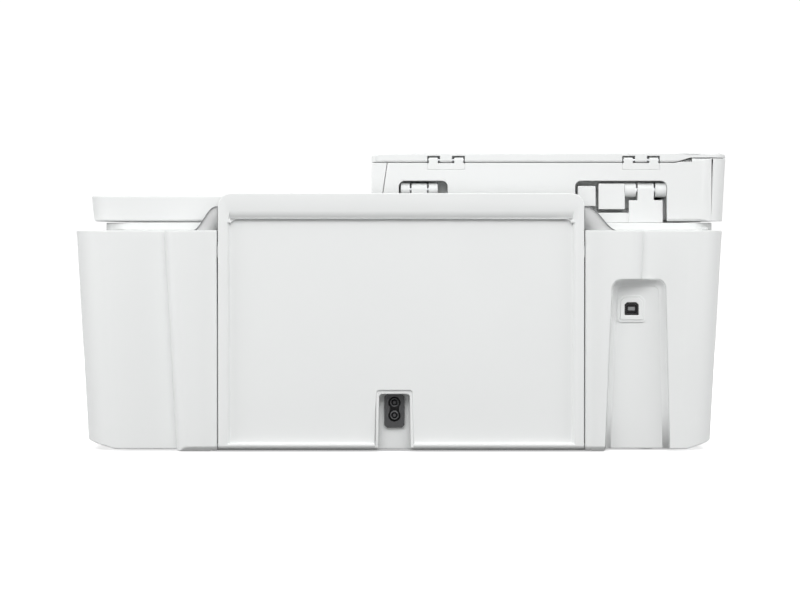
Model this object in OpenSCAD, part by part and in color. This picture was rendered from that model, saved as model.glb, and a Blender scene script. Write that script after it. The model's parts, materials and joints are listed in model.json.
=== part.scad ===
// All-in-one desktop inkjet printer: a box with a lift-up rear tray, a fixed shoulder
// and a hinged scanner lid that carries a document feeder.
// Millimetres. X runs across the machine, Y from the front (-Y) to the rear (+Y), Z up.
// The ground is z = 0 and the origin is under the middle of the machine.

/* [Overall] */
// Width over the housing and the scanner lid
body_w = 436; // [436:1:520]
// Depth from the cartridge door to the lowered input tray
body_d = 332; // [332:1:420]
// Height from the ground to the crown of the feeder cover
body_h = 200; // [200:1:260]
// Thickness of the moulded walls
wall = 2.5; // [2:0.1:3]
// How far each side of the lower housing leans in towards the bottom
side_taper = 7.8; // [0:0.2:12]
// Plan radius of the upright corners of the lower housing
corner_r = 25; // [15:1:30]

/* [Input tray] */
// Width of the lift-up rear tray
tray_w = 241.6; // [230:0.2:250]
// Depth of the tray moulding
tray_t = 13; // [12.5:0.5:16]
// Width of the raised border down each side of the tray
tray_border = 7.3; // [5:0.1:10]
// How far the middle panel lies below the border
panel_drop = 3; // [1:0.5:4]

/* [Lid and feeder] */
// Width of the scanner lid with its feeder
lid_w = 237.7; // [229:0.1:244]
// Height of the lid moulding up to the feeder cover seam
lid_h = 38.9; // [34:0.1:44]
// Diameter of the lid hinge pins
hinge_pin_d = 4; // [3:0.1:5]

/* [Paper path] */
// Diameter of the feed roller
feed_d = 12; // [10:0.5:13]
// Diameter of the pick roller
pick_d = 27; // [22:0.5:27]
// Radius of the bend that turns the sheet towards the feed roller
ramp_r = 37.8; // [36:0.2:38.4]
// Half width of the sheet path
path_x = 108; // [100:1:110]

/* [Carriage] */
// Width of the print carriage
carriage_w = 64; // [56:1:66]
// Diameter of the carriage guide rod
guide_d = 8; // [6:0.5:9]

/* [Buttons] */
// Diameter of the round buttons
button_d = 10; // [8:0.5:12]
// Height of a button above the control panel
button_lift = 1.1; // [0.8:0.1:1.4]

/* [Hidden] */
$fn = 72;
gap = 0.3;
run = 0.1;
white = [0.93, 0.94, 0.94];
soft_grey = [0.80, 0.80, 0.80];
mid_grey = [0.55, 0.56, 0.57];
dark_grey = [0.20, 0.20, 0.21];
black = [0.06, 0.06, 0.065];
steel = [0.72, 0.73, 0.75];
green = [0.10, 0.33, 0.20];
cream = [0.88, 0.87, 0.82];

side_x = body_w / 2;
rear_y = body_d / 2;
front_y = -body_d / 2;
rim_z = body_h - 53;
lid_z0 = rim_z + 6;
lid_z1 = lid_z0 + lid_h;
deck_z = rim_z + 23.4;
neck_z = rim_z + 5;

// Lower housing: rim at the top, toe line where the sides turn under.
toe_z = 6.5;
under_z = 1.5;
rim_left = -side_x + 2.4;
rim_right = side_x;
toe_left = rim_left + side_taper;
toe_right = rim_right - side_taper;
house_front = front_y + 2.3;
house_rear = rear_y - 15;
pod_rear = rear_y - 4;
pod_x = tray_w / 2 + 0.7;
pod_right = 157;
pod_left = -161;
pod_round = 9;

// Lid
lid_x0 = -side_x;
lid_x1 = lid_x0 + lid_w;
lid_front = front_y + 3;
lid_rear = rear_y - 24;
hinge_y = rear_y - 30;
hinge_z = lid_z0 + 21;
cover_hinge_y = lid_rear - 1.6;
cover_hinge_z = lid_z1 + 2;
cover_pin_r = 0.8;

// Input tray
tray_x = tray_w / 2;
tray_front = rear_y - tray_t;
tray_z0 = 2.8;
tray_z1 = rim_z + 24.4;
tray_pin_y = rear_y - 10;
tray_pin_z = 8;
inlet_x = 4.4;

// Drive train, all on one side plate; the mechanism keeps its distance from the rear.
gear_x0 = -150;
gear_w = 6;
plate_x = -142;
plate_right = 112;
feed_y = rear_y - 108;
feed_z = 64;
feed_teeth = 40;
pinion_teeth = 12;
idler_teeth = 56;
pick_idler_teeth = 38;
pick_teeth = 30;
pinion_angle = -30;
pick_angle = 21.5;
pinion_c = (pinion_teeth + feed_teeth) / 2;
idler_c = (idler_teeth + feed_teeth) / 2;
pick_idler_c = (feed_teeth + pick_idler_teeth) / 2;
pick_c = pick_idler_c + (pick_idler_teeth + pick_teeth) / 2;
pinion_y = feed_y + pinion_c * cos(pinion_angle);
pinion_z = feed_z + pinion_c * sin(pinion_angle);
idler_y = feed_y - idler_c;
output_y = feed_y - 2 * idler_c;
pick_idler_y = feed_y + pick_idler_c * cos(pick_angle);
pick_idler_z = feed_z + pick_idler_c * sin(pick_angle);
pick_y = feed_y + pick_c * cos(pick_angle);
pick_z = feed_z + pick_c * sin(pick_angle);
pinch_y = feed_y + 1;
pinch_z = feed_z + feed_d / 2 + gap + 4;
ramp_y = rear_y - 17.7 - ramp_r - 1.5;
ramp_z = feed_z + 4.7 + ramp_r;

// Carriage
park_x = 150;
car_x0 = park_x - carriage_w / 2;
car_x1 = park_x + carriage_w / 2;
guide_y = feed_y - 28;
guide_z = 92;
car_front = guide_y - 75;
car_rear = guide_y - 6;
car_z0 = 71.5;
belt_y0 = guide_y + 7.5;
belt_y1 = belt_y0 + 5;
belt_z = 108;
pulley_r = 6.4;
drive_x = -175;
idle_x = 188;
rail_y = guide_y + 14;
rail_x = side_x - 20;

// Scanner
tub_x0 = rim_left + 8.6;
tub_x1 = 17;
tub_front = front_y + 11;
tub_rear = rear_y - 27;
tub_z = rim_z - 21;
bar_y0 = tub_front + 6;
bar_w = 18;
cis_teeth = 16;
cis_x = -112;
rack_x = -76;

// Door and output tray
door_x = 128;
door_pin_y = front_y + 4.1;
door_pin_z = rim_z - 15.7;
door_z0 = 51;
slot_z0 = 8;

// Control panel
panel_x0 = 62;
panel_x1 = 186;
panel_y0 = front_y + 18;
panel_y1 = front_y + 50;
button_xs = [70.5, 132, 146, 160, 174];

function mate(alpha, z1, p1, z2) = alpha + 180 - (z1 / z2) * (p1 - alpha) - 180 / z2;
idler_phase = mate(180, feed_teeth, 0, idler_teeth);
output_phase = mate(180, idler_teeth, idler_phase, feed_teeth);
pinion_phase = mate(pinion_angle, feed_teeth, 0, pinion_teeth);
pick_idler_phase = mate(pick_angle, feed_teeth, 0, pick_idler_teeth);
pick_phase = mate(pick_angle, pick_idler_teeth, pick_idler_phase, pick_teeth);

// ---- shared shapes ----

module slab(x0, x1, y0, y1, z0, z1) {
  translate([x0, y0, z0]) cube([x1 - x0, y1 - y0, z1 - z0]);
}

module rod_x(x0, x1, y, z, r) {
  translate([x0, y, z]) rotate([0, 90, 0]) cylinder(r = r, h = x1 - x0);
}

module rod_y(y0, y1, x, z, r) {
  translate([x, y0, z]) rotate([-90, 0, 0]) cylinder(r = r, h = y1 - y0);
}

module post(x, y, z0, z1, r) {
  translate([x, y, z0]) cylinder(r = r, h = z1 - z0);
}

// Flat shape drawn in X and Z, thick along Y.
module along_y(y0, y1) {
  translate([0, y1, 0]) rotate([90, 0, 0]) linear_extrude(y1 - y0) children();
}

// Flat shape drawn in Y and Z, thick along X.
module along_x(x0, x1) {
  translate([x0, 0, 0]) rotate([90, 0, 90]) linear_extrude(x1 - x0) children();
}

module along_z(z0, z1) {
  translate([0, 0, z0]) linear_extrude(z1 - z0) children();
}

module box2(a0, a1, b0, b1) {
  translate([a0, b0]) square([a1 - a0, b1 - b0]);
}

module round2(a0, a1, b0, b1, r) {
  box2(a0 + r, a1 - r, b0, b1);
  box2(a0, a1, b0 + r, b1 - r);
  for (a = [a0 + r, a1 - r])
    for (b = [b0 + r, b1 - r])
      translate([a, b]) circle(r);
}

// Rounded at the upper two corners only.
module arch2(a0, a1, b0, b1, r) {
  box2(a0, a1, b0, b1 - r);
  box2(a0 + r, a1 - r, b1 - r - 1, b1);
  for (a = [a0 + r, a1 - r])
    translate([a, b1 - r]) circle(r);
}

// A deep block whose face leans from x0 at z0 to x1 at z1, with round upright corners there.
// The body lies on side s of that face.
module lean_block(x0, x1, z0, z1, s, y0, y1, r) {
  reach = 620;
  translate([x0, 0, z0]) rotate([0, atan2(x1 - x0, z1 - z0), 0]) translate([0, 0, -40])
    linear_extrude(norm([x1 - x0, z1 - z0]) + 80)
      if (r > 0) round2(s > 0 ? 0 : -reach, s > 0 ? reach : 0, y0, y1, r);
      else box2(s > 0 ? 0 : -reach, s > 0 ? reach : 0, y0 - 1, y1 + 1);
}

// Box with leaning left and right sides and rounded upright corners.
module lean_box(xl0, xl1, xr0, xr1, y0, y1, z0, z1, rl, rr) {
  intersection() {
    lean_block(xl0, xl1, z0, z1, 1, y0, y1, rl);
    lean_block(xr0, xr1, z0, z1, -1, y0, y1, rr);
    slab(-300, 300, y0 - 5, y1 + 5, z0, z1);
  }
}

// Outline of a spur gear of module 1 with involute flanks.
function inv(a) = tan(a) * 180 / PI - a;
function half_tooth(r, z) =
  90 / z - 0.17 * 180 / PI / (z / 2) + inv(20)
  - inv(acos(min(1, z / 2 * cos(20) / r)));
function gear_rs(z) = [z / 2 - 1.05, max(z / 2 * cos(20), z / 2 - 0.6), z / 2 + 0.1, z / 2 + 0.75];

module gear2(z, phase) {
  rs = gear_rs(z);
  polygon([
    for (k = [0:z - 1])
      for (j = [0:7])
        let (r = rs[j < 4 ? j : 7 - j])
        let (a = phase + k * 360 / z + (j < 4 ? -1 : 1) * half_tooth(r, z))
        [r * cos(a), r * sin(a)]
  ]);
}

// One rack tooth standing on the line b = 0 of its pitch line.
module rack_tooth() {
  t = PI / 4 - 0.17;
  lean = tan(20);
  polygon([
    [-t - 1.25 * lean, -1.25], [t + 1.25 * lean, -1.25],
    [t - 0.75 * lean, 0.75], [-t + 0.75 * lean, 0.75]
  ]);
}

// ---- lower housing ----

module bucket(inset, z0, z1) {
  lean = side_taper / (rim_z - toe_z);
  xl0 = toe_left + inset + (toe_z - z0) * lean;
  xl1 = toe_left + inset + (toe_z - z1) * lean;
  xr0 = toe_right - inset - (toe_z - z0) * lean;
  xr1 = toe_right - inset - (toe_z - z1) * lean;
  lean_box(xl0, xl1, xr0, xr1, house_front + inset, house_rear - inset, z0, z1,
           corner_r - inset, corner_r - inset);
}

module usb_arch(grow) {
  polygon([
    [-178.7 - grow, -2], [-135 + grow, -2], [-139.5 + grow, 108.3], [-139.5 + grow, 108.4],
    [-175.8 - grow, 108.4], [-175.8 - grow, 108.3]
  ]);
  translate([-145.5, 108.3]) circle(6 + grow);
  translate([-169.8, 108.3]) circle(6 + grow);
  box2(-169.8, -145.5, 104, 114.3 + grow);
}

module pod(x0, x1, top_x) {
  difference() {
    intersection() {
      lean_block(x1, top_x, 0.6, rim_z, -1, house_rear - 40, pod_rear, pod_round);
      slab(x0, 300, house_rear + run, pod_rear + 5, 0.6, rim_z);
    }
    translate([0, pod_rear, 0.6]) rotate([45, 0, 0]) slab(0, 300, -2.2, 2.2, -2.2, 2.2);
  }
}

// Hollow that runs from the housing into each pod.
module pod_hollows() {
  slab(pod_x + 7, 142, house_rear - 10, pod_rear - wall, 5, rim_z - wall);
  slab(-133, -pod_x - 7, house_rear - 10, pod_rear - wall, 5, rim_z - wall);
}

module lower_housing() {
  color(white) difference() {
    union() {
      difference() {
        bucket(0, under_z, rim_z);
        bucket(wall, under_z + wall, rim_z - wall);
        slab(tub_x0 - 0.4, side_x - 26, tub_front - 1, tub_rear + 0.4, rim_z - 10, rim_z + 1);
        slab(-118, 118, tub_rear, house_rear - wall, rim_z - 10, rim_z + 1);
      }
      intersection() {
        along_y(house_rear - 6.5, house_rear) usb_arch(wall);
        bucket(1, 3, rim_z);
      }
      for (s = [-1, 1]) {
        slab(s > 0 ? door_x + 0.4 : -door_x - 7, s > 0 ? door_x + 7 : -door_x - 0.4,
             house_front + 1, house_front + 7, door_pin_z - 5, door_pin_z + 5);
      }
    }
    // Underside turned up at the toe.
    for (s = [-1, 1])
      along_y(front_y - 20, rear_y + 20)
        polygon([
          [s * (side_x + 20), -2], [s * (side_x - 27.5), -2], [s * (side_x - 27.5), under_z],
          [s * (side_x - 8), toe_z], [s * (side_x + 20), toe_z]
        ]);
    // Opening for the base pan.
    slab(-side_x + 34, side_x - 34, front_y + 16, rear_y - 30, -1, under_z + wall + 1);
    pod_hollows();
    // Cable recess for the data lead.
    along_y(house_rear - 4, rear_y + 5) usb_arch(0);
    slab(-153.4 - 5, -153.4 + 5, house_rear - 10, house_rear, 94.8 - 4.8, 94.8 + 4.8);
    // Hole for the mains inlet.
    slab(inlet_x - 5.6, inlet_x + 5.6, house_rear - 5, house_rear + 1, 17.2, 37.1);
    // Front opening for the cartridge door and the output tray.
    along_y(front_y - 5, house_front + 15) {
      box2(-door_x - 0.4, door_x + 0.4, door_z0 - 1, door_pin_z + 4.6);
      box2(-117, 117, slot_z0, door_z0);
    }
    for (s = [-1, 1])
      rod_x(s > 0 ? door_x : -door_x - 4.2, s > 0 ? door_x + 4.2 : -door_x, door_pin_y, door_pin_z, 1.3);
  }
}

// Raised pods either side of the rear tray; the tray's runners slide in their grooves.
module rear_pods() {
  color(white) difference() {
    union() {
      pod(pod_x, 149, pod_right);
      mirror([1, 0, 0]) pod(pod_x, 155, -pod_left);
      for (s = [-1, 1])
        slab(s > 0 ? pod_x - 0.4 : -pod_x - 1, s > 0 ? pod_x + 1 : -pod_x + 0.4,
             rear_y - 10, rear_y - 5, rim_z - 17.5, rim_z - 10.5);
    }
    pod_hollows();
    for (s = [-1, 1])
      slab(s > 0 ? pod_x - 1 : -pod_x - 4.3, s > 0 ? pod_x + 4.3 : -pod_x + 1,
           tray_pin_y - 3.4, tray_pin_y + 3.4, -1, rim_z - 8);
    along_y(house_rear - 4, rear_y + 5) usb_arch(0);
  }
}

module base_pan() {
  color(dark_grey) difference() {
    union() {
      slab(-side_x + 34.3, side_x - 34.3, front_y + 16.3, rear_y - 30.3, under_z, under_z + wall);
      for (x = [-90:30:90])
        slab(x - 0.8, x + 0.8, front_y + 122, rear_y - 76, under_z + 1, under_z + 4.5);
    }
    for (x = [-165, 165])
      for (y = [front_y + 40, rear_y - 46])
        post(x, y, 0, 10, 2.7);
  }
}

module rubber_feet() {
  color(black)
    for (x = [-165, 165])
      for (y = [front_y + 40, rear_y - 46]) {
        post(x, y, 0, 1.3, 8);
        post(x, y, 1, 3.6, 2.5);
      }
}

module slot_cheeks() {
  color(soft_grey)
    for (s = [[1, 138], [-1, 143]])
      along_y(rear_y - 20, rear_y - 8) {
        polygon(concat(
          [[s[0] * pod_x, rim_z + 0.1], [s[0] * pod_x, rim_z + 16]],
          [for (i = [0:16]) [s[0] * (127 + (s[1] - 127) * i / 16), rim_z + 8.3 + 7.7 * cos(i * 180 / 16)]],
          [[s[0] * s[1], rim_z + 0.1]]
        ));
      }
}

module power_inlet() {
  color(dark_grey) difference() {
    union() {
      along_y(house_rear + 0.1, house_rear + 2.6)
        polygon([
          [inlet_x - 6.7, 17.6], [inlet_x - 5, 15.9], [inlet_x + 5, 15.9], [inlet_x + 6.7, 17.6],
          [inlet_x + 6.7, 36.4], [inlet_x + 5, 38.1], [inlet_x - 5, 38.1], [inlet_x - 6.7, 36.4]
        ]);
      slab(inlet_x - 5.3, inlet_x + 5.3, house_rear - 10, house_rear + 0.1, 17.5, 36.8);
    }
    along_y(house_rear - 8, house_rear + 5) {
      box2(inlet_x - 3, inlet_x + 3, 23.9, 32.5);
      for (z = [23.9, 32.5])
        translate([inlet_x, z]) circle(4);
    }
  }
  color(steel)
    for (z = [23.9, 32.5])
      rod_y(house_rear - 9, house_rear + 0.5, inlet_x, z, 1.2);
}

module usb_socket() {
  color(soft_grey) difference() {
    along_y(house_rear - 4, house_rear - 2.6)
      polygon([
        [-162.3, 85.9], [-144.5, 85.9], [-144.5, 101.2], [-147, 103.7], [-159.8, 103.7], [-162.3, 101.2]
      ]);
    along_y(house_rear - 5, house_rear)
      box2(-153.4 - 4.7, -153.4 + 4.7, 94.8 - 4.4, 94.8 + 4.4);
  }
  color(black) difference() {
    slab(-157.6, -149.2, house_rear - 9, house_rear - 3.2, 90.9, 98.7);
    slab(-156.9, -149.9, house_rear - 8, house_rear, 91.6, 98);
  }
  color(soft_grey) slab(-155, -151.8, house_rear - 8.5, house_rear - 3.8, 93.8, 95.8);
}

module power_supply() {
  color(dark_grey) difference() {
    slab(-50, 60, rear_y - 71, rear_y - 25.4, 4.3, 46);
    for (i = [0:8])
      slab(-40 + i * 11, -34 + i * 11, rear_y - 66, rear_y - 36, 44.5, 47);
  }
}

module main_board() {
  color(green) slab(-196, -152.5, house_rear - 11, house_rear - 9.4, 50, 120);
  color(dark_grey) {
    slab(-184, -166, house_rear - 13, house_rear - 11, 80, 98);
    slab(-190, -176, house_rear - 12.6, house_rear - 11, 60, 70);
    slab(-192, -158, house_rear - 16, house_rear - 11, 108, 112);
  }
  color(steel)
    for (x = [-170, -161])
      rod_y(house_rear - 20, house_rear - 11, x, 66, 3.5);
}

// ---- scanner ----

module scanner_base() {
  color(white) difference() {
    union() {
      along_z(rim_z, neck_z)
        round2(rim_left + 6.4, side_x - 19.5, front_y + 8, rear_y - 25.5, 20);
      along_z(tub_z, rim_z + 1) round2(tub_x0, tub_x1, tub_front, tub_rear, 10);
    }
    along_z(tub_z + wall, neck_z + 1)
      round2(tub_x0 + wall, tub_x1 - wall, tub_front + wall, tub_rear - wall, 7.5);
    slab(tub_x1 + 5, side_x - 27, tub_front + 6, tub_rear - 6, rim_z - 1, neck_z + 1);
    for (y = [tub_front - 1, tub_rear - wall - 1])
      rod_y(y, y + wall + 2, cis_x, tub_z + 7, 3.05);
  }
  color(white) {
    slab(tub_x0 + wall - 0.5, tub_x0 + wall + 3, tub_front + 1, tub_rear - 1, rim_z, neck_z - 3.2);
    slab(tub_x1 - wall - 3, tub_x1 - wall + 0.5, tub_front + 1, tub_rear - 1, rim_z, neck_z - 3.2);
  }
}

module scanner_glass() {
  color([0.75, 0.82, 0.84, 0.5])
    along_z(neck_z - 3.1, neck_z - 0.3)
      round2(tub_x0 + wall + 0.4, tub_x1 - wall - 0.4, tub_front + wall + 0.4, tub_rear - wall - 0.4, 7.1);
}

module cis_rail() {
  color(steel) rod_y(tub_front + 0.5, tub_rear - 0.5, cis_x, tub_z + 7, 3);
}

module cis_rack() {
  color(mid_grey) along_z(tub_z + wall + 0.1, tub_z + wall + 6) {
    box2(rack_x, rack_x + 3, tub_front + wall + 1, tub_rear - wall - 1);
    for (i = [-3:86])
      translate([rack_x - 1.2, bar_y0 + 9 + (i + 0.5) * PI]) rotate([0, 0, 90]) rack_tooth();
  }
}

module cis_bar() {
  color(dark_grey) difference() {
    union() {
      slab(tub_x0 + wall + 3.4, tub_x1 - wall - 3.4, bar_y0, bar_y0 + bar_w, tub_z + 12, rim_z + 1.2);
      slab(cis_x - 6, cis_x + 3.5, bar_y0, bar_y0 + bar_w, tub_z + 3.2, tub_z + 12);
    }
    rod_y(bar_y0 - 1, bar_y0 + bar_w + 1, cis_x, tub_z + 7, 3 + run);
    slab(tub_x0 + wall + 5, tub_x1 - wall - 5, bar_y0 + 6, bar_y0 + 12, rim_z + 0.2, rim_z + 3);
    post(rack_x - 9.2, bar_y0 + 9, tub_z + 11, tub_z + 17, 1.5 + run);
  }
}

module cis_pinion() {
  color(cream) {
    translate([rack_x - 9.2, bar_y0 + 9, tub_z + wall + 0.8])
      linear_extrude(5) gear2(cis_teeth, 0);
    post(rack_x - 9.2, bar_y0 + 9, tub_z + wall + 5, tub_z + 16, 1.5);
  }
}

// ---- shoulder and controls ----

function shoulder_right(z) = side_x - 11.4 + 1.8 * (z - lid_z0) / (deck_z - lid_z0);

module shoulder_solid(inset, z0, z1) {
  x0 = lid_x1 + 0.5 + inset;
  lean_box(x0, x0, shoulder_right(z0) - inset, shoulder_right(z1) - inset,
           lid_front + inset, lid_rear - inset, z0, z1, 0, 22 - inset);
}

module shoulder_cover() {
  color(white) difference() {
    shoulder_solid(0, lid_z0, deck_z);
    shoulder_solid(wall, lid_z0 - 1, deck_z - wall);
    slab(panel_x0, panel_x1, panel_y0, panel_y1, deck_z - 5, deck_z + 5);
  }
  color(white) {
    slab(lid_x1 + 6, lid_x1 + 12, lid_front + 30, lid_front + 36, neck_z + 0.1, deck_z - wall + 0.5);
    slab(lid_x1 + 6, lid_x1 + 12, lid_rear - 12, lid_rear - 8, neck_z + 0.1, deck_z - wall + 0.5);
  }
}

module control_panel() {
  color(dark_grey) difference() {
    union() {
      along_z(deck_z - wall, deck_z + 0.8)
        round2(panel_x0 + gap, panel_x1 - gap, panel_y0 + gap, panel_y1 - gap, 3);
      slab(panel_x0 - 3, panel_x1 + 3, panel_y0 - 3, panel_y1 + 3, deck_z - wall - 1.6, deck_z - wall - 0.1);
      slab(panel_x0 + 1, panel_x1 - 1, panel_y0 + 1, panel_y1 - 1, deck_z - wall - 1, deck_z - wall + 0.5);
    }
    for (x = button_xs)
      post(x, panel_y0 + 16, deck_z - 9, deck_z + 5, button_d / 2 + 0.4);
    slab(82, 122, panel_y0 + 5, panel_y1 - 5, deck_z - 1, deck_z + 3);
  }
  color([0.12, 0.16, 0.18])
    slab(82 + gap, 122 - gap, panel_y0 + 5 + gap, panel_y1 - 5 - gap, deck_z - 0.9, deck_z + 0.9);
  color(green) slab(panel_x0 - 2, panel_x1 + 2, panel_y0 - 2, panel_y1 + 2, deck_z - 11, deck_z - 9.4);
  color(soft_grey)
    for (x = [panel_x0, panel_x1])
      post(x, panel_y0 + 4, deck_z - 9.5, deck_z - wall - 1.6, 2);
}

module button(i) {
  x = button_xs[i];
  post(x, panel_y0 + 16, deck_z - wall - 0.8, deck_z + 0.8 + button_lift, button_d / 2);
  post(x, panel_y0 + 16, deck_z - 7.6, deck_z - wall, 1.8);
}

module power_button() {
  color(soft_grey) button(0);
}

module wireless_button() {
  color(soft_grey) button(1);
}

module cancel_button() {
  color(soft_grey) button(2);
}

module copy_button() {
  color(soft_grey) button(3);
}

module scan_button() {
  color(soft_grey) button(4);
}

// ---- hinges ----

module hinge_towers() {
  color(white) difference() {
    union() {
      for (x = [[-17.4, -6.9], [-168.7, -157.9]]) {
        rod_x(x[0], x[1], hinge_y, hinge_z, 4.5);
        slab(x[0], x[1], hinge_y - 4.5, hinge_y + 4.5, neck_z + 0.1, hinge_z);
      }
      slab(-174.7, -152.1, hinge_y - 4.5, hinge_y + 4.5, neck_z + 0.1, hinge_z - 7);
      slab(-152.5, -131, hinge_y - 4.5, hinge_y + 3.5, neck_z + 0.1, lid_z0 + 5.7);
    }
    for (x = [-12.1, -163.3])
      rod_x(x - 12, x + 12, hinge_y, hinge_z, hinge_pin_d / 2 + run);
  }
}

module hinge_pins() {
  color(steel) {
    rod_x(-23, -1.5, hinge_y, hinge_z, hinge_pin_d / 2);
    rod_x(-175.5, -151, hinge_y, hinge_z, hinge_pin_d / 2);
  }
  color(steel)
    for (x = [-160, -30])
      rod_x(x - 12, x + 12, cover_hinge_y, cover_hinge_z, cover_pin_r);
  color(white)
    for (x = [-160, -30])
      for (s = [-1, 1])
        difference() {
          union() {
            slab(x + s * 8.5 - 3, x + s * 8.5 + 3, cover_hinge_y - 1.6, cover_hinge_y + 1.6,
                 lid_z1 - 4.2, cover_hinge_z);
            rod_x(x + s * 8.5 - 3, x + s * 8.5 + 3, cover_hinge_y, cover_hinge_z, 1.6);
          }
          rod_x(x + s * 8.5 - 4, x + s * 8.5 + 4, cover_hinge_y, cover_hinge_z, cover_pin_r + 0.02);
        }
}

// ---- lid and feeder ----

// Upper edge of the lid seen from behind: level, then a ramp up to the thin end.
module lid_side2(x0, x1, grow) {
  polygon([
    [x0, lid_z0 - 1], [x1, lid_z0 - 1], [x1, lid_z1 + grow], [-side_x + 35.4, lid_z1 + grow],
    [-side_x + 25, lid_z1 + 3.1 + grow], [x0, lid_z1 + 3.1 + grow]
  ]);
}

function lid_left(z) = lid_x0 + 2.2 * (lid_z1 + 3.1 - z) / (lid_h + 3.1);

module lid_solid(inset, z0, z1, x1) {
  lean_box(lid_left(z0) + inset, lid_left(z1) + inset, x1 - inset, x1 - inset,
           lid_front + inset, lid_rear - inset, z0, z1, 18 - inset, 0);
}

module lid_housing() {
  color(white) difference() {
    union() {
      difference() {
        lid_solid(0, lid_z0, lid_z1 + 3.1, lid_x1 - 0.2);
        lid_solid(wall, lid_z0 - 1, lid_z0 + 2.4, lid_x1 - 4);
        lid_solid(wall, lid_z0 + 4.6, lid_z1 + 4, lid_x1 + 20);
      }
      slab(-33.5, 4, hinge_y - 10.5, lid_rear - 1, lid_z0 + 0.5, hinge_z + 8);
      slab(-179.5, -114, hinge_y - 10.5, lid_rear - 1, lid_z0 + 0.5, hinge_z + 8);
      for (x = [lid_x0 + 14, lid_x1 - 16])
        slab(x, x + 4, front_y + 120, front_y + 136, lid_z0 + 4, lid_z1 - 5);
    }
    // Top edge with its ramp.
    along_y(front_y - 5, rear_y + 5)
      polygon([
        [side_x, lid_z1], [-side_x + 35.4, lid_z1], [-side_x + 25, lid_z1 + 3.1],
        [-side_x - 5, lid_z1 + 3.1], [-side_x - 5, lid_z1 + 9], [side_x, lid_z1 + 9]
      ]);
    // Joint with the end cap, leaning slightly.
    along_y(front_y - 5, rear_y + 5)
      polygon([
        [lid_x1 - 7.7, lid_z0 - 1], [lid_x1 - 7.7, deck_z + 1], [lid_x1 - 10.7, lid_z1],
        [lid_x1 - 10.7, lid_z1 + 9], [lid_x1 + 9, lid_z1 + 9], [lid_x1 + 9, lid_z0 - 1]
      ]);
    // Hinge pockets.
    along_y(hinge_y - 8, rear_y) {
      arch2(-31.1, 1.5, lid_z0 - 2, hinge_z + 5.9, 4);
      arch2(-177.4, -116.1, lid_z0 - 2, hinge_z + 5.9, 4);
    }
    // Lower rear edge eased so that it clears the neck as the lid tips up.
    along_x(-side_x - 5, side_x) polygon([
      [lid_rear + 1, lid_z0 - 1], [lid_rear - 2.5, lid_z0 - 1], [lid_rear + 1, lid_z0 + 2.5]
    ]);
    rod_x(lid_x0 + 10, lid_x1 - 4, front_y + 128, lid_z1 - 13, 3 + run);
    // Rear edge of the thin end eased for the turning cover.
    along_x(lid_x0 - 1, -side_x + 36) translate([cover_hinge_y, cover_hinge_z])
      polygon([[0.1, 1.4], [0.1, 1.05], [1, 0.5], [1.9, -1.1], [3, -1.1], [3, 1.4]]);
    rod_x(-side_x + 24, -side_x + 36, cover_hinge_y, cover_hinge_z, 1.9);
    // Hole for the cover hinge pins.
    for (x = [-160, -30])
      slab(x - 12.5, x + 12.5, cover_hinge_y - 5, lid_rear + 1, lid_z1 - 4.5, lid_z1 + 6);
  }
  color(white) {
    // Hinge knuckles inside the pockets.
    for (x = [[-5.9, 0.2], [-24.5, -18.4], [-156.9, -131.8], [-177.2, -169.7]])
      difference() {
        union() {
          rod_x(x[0], x[1], hinge_y, hinge_z, 4.6);
          slab(x[0], x[1], hinge_y - 8.2, hinge_y, hinge_z - 4.6, hinge_z + 4.6);
        }
        rod_x(x[0] - 1, x[1] + 1, hinge_y, hinge_z, hinge_pin_d / 2 + 0.02);
      }
    slab(-149.3, -131.8, hinge_y - 8.2, hinge_y + 4.8, hinge_z - 13, hinge_z + 4);
    slab(-129.8, -118, hinge_y - 8.2, hinge_y + 4.8, hinge_z - 11, hinge_z + 2.5);
  }
}

module lid_end_cap() {
  color(white) difference() {
    along_y(lid_front, lid_rear)
      polygon([
        [lid_x1 - 7.3, lid_z0], [lid_x1 - 7.3, deck_z + 1], [lid_x1 - 10.3, lid_z1],
        [lid_x1, lid_z1], [lid_x1, lid_z0]
      ]);
    slab(lid_x1 - 20, lid_x1 - wall, lid_front + wall, lid_rear - wall, lid_z0 + 4.6, lid_z1 + 5);
    along_x(-side_x - 5, side_x) polygon([
      [lid_rear + 1, lid_z0 - 1], [lid_rear - 2.5, lid_z0 - 1], [lid_rear + 1, lid_z0 + 2.5]
    ]);
  }
}

module pressure_pad() {
  color([0.97, 0.97, 0.97])
    along_z(neck_z + 0.4, lid_z0 + 2.2)
      round2(tub_x0 + 5, tub_x1 - 8, tub_front + 6, tub_rear - 14, 3);
}

module adf_roller() {
  color(steel) rod_x(lid_x0 + 12, lid_x1 - 10.5, front_y + 128, lid_z1 - 13, 3);
  color(dark_grey)
    for (x = [-160, -110, -60])
      difference() {
        rod_x(x, x + 32, front_y + 128, lid_z1 - 13, 9);
        rod_x(x - 1, x + 33, front_y + 128, lid_z1 - 13, 3);
      }
}

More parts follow.
